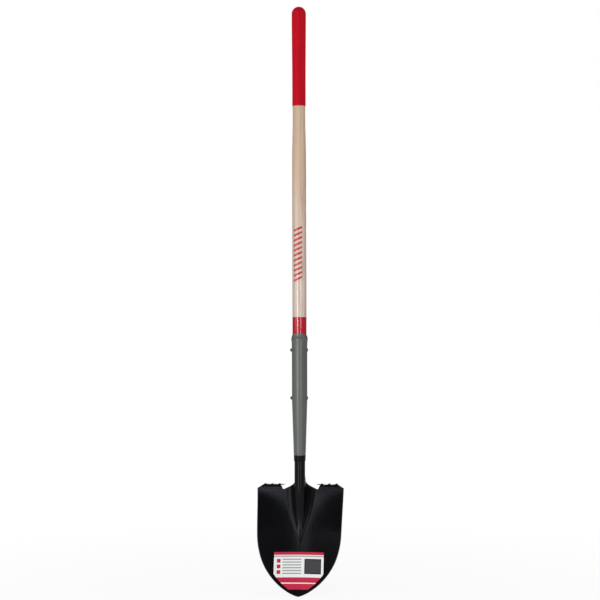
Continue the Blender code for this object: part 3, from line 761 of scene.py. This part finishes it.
# Painted shade: the colour darkens towards the deep red at the lower lip, where the grip meets the wood
lip_painted_shade = 1.0 - z.step(GRIP_END_Z + GRIP_WALL, GRIP_END_Z + 3 * GRIP_WALL)
shade = drawn.step(0.42, 0.60) * 0.60 + thread.step(0.45, 0.70) * 0.30 + cloud * 0.10
colour = (rubbed * 0.35).blend(shade.blend(GRIP_RED, DEEP_RED_AND_SHADE), RUBBED_RED)
colour = (lip_painted_shade * 0.6).blend(colour, DEEP_RED_AND_SHADE)
roughness = 0.42 + drawn * 0.14 + pebble * 0.12
relief = drawn * 0.7 + thread * 0.3 + pebble * 0.4
tree.feed(shader, {"Base Color": colour, "Roughness": roughness, "Normal": relief.bump(distance=0.00045)})
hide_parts("grip")
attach(grip, "root")


# Label. A paper label stuck in the bowl below the frog, cut to follow the blade's outline. It is printed
# with plain blocks, lines and bars of colour.
LABEL_TOP_Z = -0.8720
LABEL_END_Z = -0.9620
LABEL_HALF_WIDTH = 0.0635
LABEL_MARGIN = 0.0125
LABEL_THICKNESS = 0.0002
LABEL_ROWS = 60
LABEL_COLUMNS = 81

label_z = np.linspace(LABEL_TOP_Z, LABEL_END_Z, LABEL_ROWS)[:, None]
label_drop = NECK_FOOT_Z - label_z
label_half = np.minimum(LABEL_HALF_WIDTH, half_width(label_drop) - LABEL_MARGIN)
label_x = label_half * np.linspace(-1.0, 1.0, LABEL_COLUMNS)
label_y = sheet_y(label_x, label_drop)
slope_x = np.gradient(label_y, axis=1) / np.gradient(label_x, axis=1)
slope_z = np.gradient(label_y, axis=0) / np.gradient(label_z, axis=0)
stand_off = (SHEET / 2 + LABEL_THICKNESS) * np.sqrt(1.0 + slope_x**2 + slope_z**2)
label_points = np.stack([label_x, label_y - stand_off, np.repeat(label_z, LABEL_COLUMNS, axis=1)], axis=-1)
label = mesh_piece("paper_label", label_points, grid_faces(LABEL_ROWS, LABEL_COLUMNS), sharp_degrees=60)
paper = label.modifiers.new("thickness", "SOLIDIFY")
paper.thickness = LABEL_THICKNESS
paper.offset = 0.0

LABEL_WHITE = (0.84, 0.85, 0.83, 1.0)
LABEL_RED = (0.56, 0.012, 0.055, 1.0)
LABEL_BLACK = (0.012, 0.012, 0.014, 1.0)
LABEL_GREY = (0.30, 0.31, 0.32, 1.0)
LABEL_DARK = (0.055, 0.050, 0.054, 1.0)
INK_EDGE = 0.0002
HEAD_BAND_Z = (-0.8790, -0.8660)
HEAD_LINE_Z = (-0.8835, -0.8810)
LIST_Z = (-0.9270, -0.8865)
TICK_X = (-0.0560, -0.0468)
TICK_PITCH = 0.0135
LINE_X = (-0.0420, 0.0060)
LINE_PITCH = 0.00675
PANEL_X = (0.0140, 0.0570)
PANEL_Z = (-0.9250, -0.8885)
PANEL_FACE_X = (0.0165, 0.0545)
PANEL_FACE_Z = (-0.9225, -0.8910)
FOOT_BAND_Z = (-0.9700, -0.9330)
FOOT_LINE_Z = (-0.9480, -0.9455)


def between(value, ends):
    """1 where a value lies between two ends, with a fine soft edge."""
    low, high = ends
    above_high = value.step(high - INK_EDGE, high + INK_EDGE)
    return value.step(low - INK_EDGE, low + INK_EDGE) * (1.0 - above_high)


def row_share(z, pitch):
    """How far a height is up its row of the list, from 0 to 1, with rows a pitch apart."""
    return z.math("FRACT", (z - LIST_Z[0]) / pitch)


tree, shader, place = finish(label, "printed_paper", {"Specular IOR Level": 0.3})
x, z = axes(tree, place, "XZ")
listed = between(z, LIST_Z)
ticks = between(row_share(z, TICK_PITCH), (0.16, 0.84)) * listed * between(x, TICK_X)
lines = between(row_share(z, LINE_PITCH), (0.30, 0.70)) * listed * between(x, LINE_X)
panel = between(x, PANEL_X) * between(z, PANEL_Z)
panel_face = between(x, PANEL_FACE_X) * between(z, PANEL_FACE_Z)
colour = (between(z, HEAD_BAND_Z) + between(z, FOOT_BAND_Z) + ticks).blend(LABEL_WHITE, LABEL_RED)
colour = (between(z, HEAD_LINE_Z) + lines).blend(colour, LABEL_GREY)
colour = panel.blend(colour, LABEL_BLACK)
colour = panel_face.blend(colour, LABEL_DARK)
colour = between(z, FOOT_LINE_Z).blend(colour, LABEL_WHITE)
fibre = tree.noise(place, scale=(900.0, 900.0, 900.0), detail=3.0, roughness=0.6)
crease = tree.noise(place, scale=(45.0, 45.0, 45.0))
roughness = 0.36 + fibre * 0.12 + crease * 0.06
relief = fibre * 0.25 + crease
tree.feed(shader, {"Base Color": colour, "Roughness": roughness, "Normal": relief.bump(distance=0.00025)})
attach(label, "root")


# Stage. A wide pale floor just under the point, white air all round for the camera, and soft lamps: a
# tall strip on each side of the camera, a wide bank on the left, a small cool box high in front, a bank
# high on the right and a bank straight behind.
FLOOR_SIZE = 14.0
FLOOR_COLOUR = (0.80, 0.80, 0.80, 1.0)
FLOOR_SHADOW = 0.10
FLOOR_NEAR = 0.15
FLOOR_FAR = 1.60
FLOOR_GAP = 0.0005
AMBIENT = 0.50
FRONT_GLOSS = 0.05
BACK_GLOSS = 0.08
BACKDROP_FULL = 0.35
WHITE = (1.0, 1.0, 1.0, 1.0)

ends = np.array([-FLOOR_SIZE / 2, FLOOR_SIZE / 2])
floor_x, floor_y = np.meshgrid(ends, ends)
floor_z = np.full((2, 2), cad_box[0][2] - FLOOR_GAP)
floor_points = np.stack([floor_x, floor_y, floor_z], axis=-1)
floor = mesh_piece("floor", floor_points, grid_faces(2, 2)[:, ::-1], sharp_degrees=30)


def ray_shares(tree):
    """Two shares: 1 for a ray from the camera, and 1 for a ray that was mirrored or let through."""
    camera_ray, glossy, through = [
        tree.node("ShaderNodeLightPath", {}, {}, output=kind)
        for kind in ("Is Camera Ray", "Is Glossy Ray", "Is Transmission Ray")
    ]
    return camera_ray, tree.math("MAXIMUM", glossy, through)


material = bpy.data.materials.new("pale_floor")
material.use_nodes = True
nodes = material.node_tree.nodes
nodes.remove(nodes["Principled BSDF"])
tree = Socket(material.node_tree)
matte = tree.node("ShaderNodeBsdfDiffuse", {}, {"Color": FLOOR_COLOUR})
white = tree.node("ShaderNodeEmission", {}, {"Strength": 1.0})
camera_ray, mirror_ray = ray_shares(tree)
x, y = axes(tree, tree.node("ShaderNodeTexCoord", {}, {}, output="Object"), "XY")
away = tree.math("SQRT", x * x + y * y).step(FLOOR_NEAR, FLOOR_FAR)
lit = 1.0 - FLOOR_SHADOW * (1.0 - away)
white_share = (camera_ray + mirror_ray * BACK_GLOSS) * lit
ground = tree.node("ShaderNodeMixShader", {}, {0: white_share, 1: matte, 2: white})
tree.feed(nodes["Material Output"], {"Surface": ground})
floor.data.materials.append(material)

world = bpy.data.worlds.new("studio")
world.use_nodes = True
bpy.context.scene.world = world
tree = Socket(world.node_tree)
heading = tree.node("ShaderNodeTexCoord", {}, {}, output="Generated")
backdrop = axes(tree, heading, "Y")[0].step(0.0, BACKDROP_FULL)
camera_ray, mirror_ray = ray_shares(tree)
mirrored = FRONT_GLOSS + backdrop * (BACK_GLOSS - FRONT_GLOSS)
strength = mirror_ray * mirrored + (1.0 - mirror_ray) * AMBIENT
strength = camera_ray + (1.0 - camera_ray) * strength
tree.feed(world.node_tree.nodes["Background"], {"Color": WHITE, "Strength": strength})


def set_facing(item, aim, turn, rise, distance, roll=0.0):
    """Link an object, on a sphere round a point: turned right of the front, raised, and looking in."""
    flat = distance * math.cos(rise)
    item.location = (
        aim[0] + flat * math.sin(turn),
        aim[1] - flat * math.cos(turn),
        aim[2] + distance * math.sin(rise),
    )
    item.rotation_euler = (math.pi / 2 - rise, roll, turn)
    bpy.context.scene.collection.objects.link(item)


# Name, turn and rise in degrees, height of the point it faces, distance, width, height, watts, colour
LAMPS = (
    ("left_strip", -25.0, 0.0, -0.490, 3.0, 0.26, 0.74, 20.0, (1.00, 0.99, 0.97)),
    ("right_strip", 24.0, 0.0, -0.405, 3.0, 0.30, 0.91, 11.0, (1.00, 1.00, 1.00)),
    ("left_bank", -47.0, 14.0, -0.75, 3.0, 2.60, 0.60, 13.5, (0.96, 0.98, 1.00)),
    ("sky_box", -8.0, 24.5, -0.75, 3.0, 0.44, 0.50, 4.1, (0.80, 0.88, 1.00)),
    ("right_bank", 70.0, 0.0, 0.90, 3.0, 2.00, 0.60, 10.0, (1.00, 1.00, 1.00)),
    ("back_bank", 180.0, 18.0, -0.30, 3.0, 0.60, 1.40, 20.0, (1.00, 1.00, 1.00)),
)
for name, turn, rise, aim_z, distance, width, tall, watts, colour in LAMPS:
    light = bpy.data.lights.new(name, "AREA")
    light.shape = "RECTANGLE"
    light.size = width
    light.size_y = tall
    light.energy = watts
    light.color = colour
    lamp = bpy.data.objects.new(name, light)
    lamp.visible_camera = False
    set_facing(lamp, (0.0, 0.0, aim_z), math.radians(turn), math.radians(rise), distance)

CAMERA_AIM = (0.0015, 0.0, -0.228)
CAMERA_TURN = math.radians(4.3)
CAMERA_ROLL = math.radians(0.13)
CAMERA_DISTANCE = 4.5
LENS_MM = 105.0
SENSOR_MM = 36.0

camera = bpy.data.cameras.new("camera")
camera.lens = LENS_MM
camera.sensor_width = SENSOR_MM
camera_rig = bpy.data.objects.new("camera", camera)
set_facing(camera_rig, CAMERA_AIM, CAMERA_TURN, 0.0, CAMERA_DISTANCE, CAMERA_ROLL)
bpy.context.scene.camera = camera_rig
bpy.context.scene.view_settings.view_transform = "Standard"
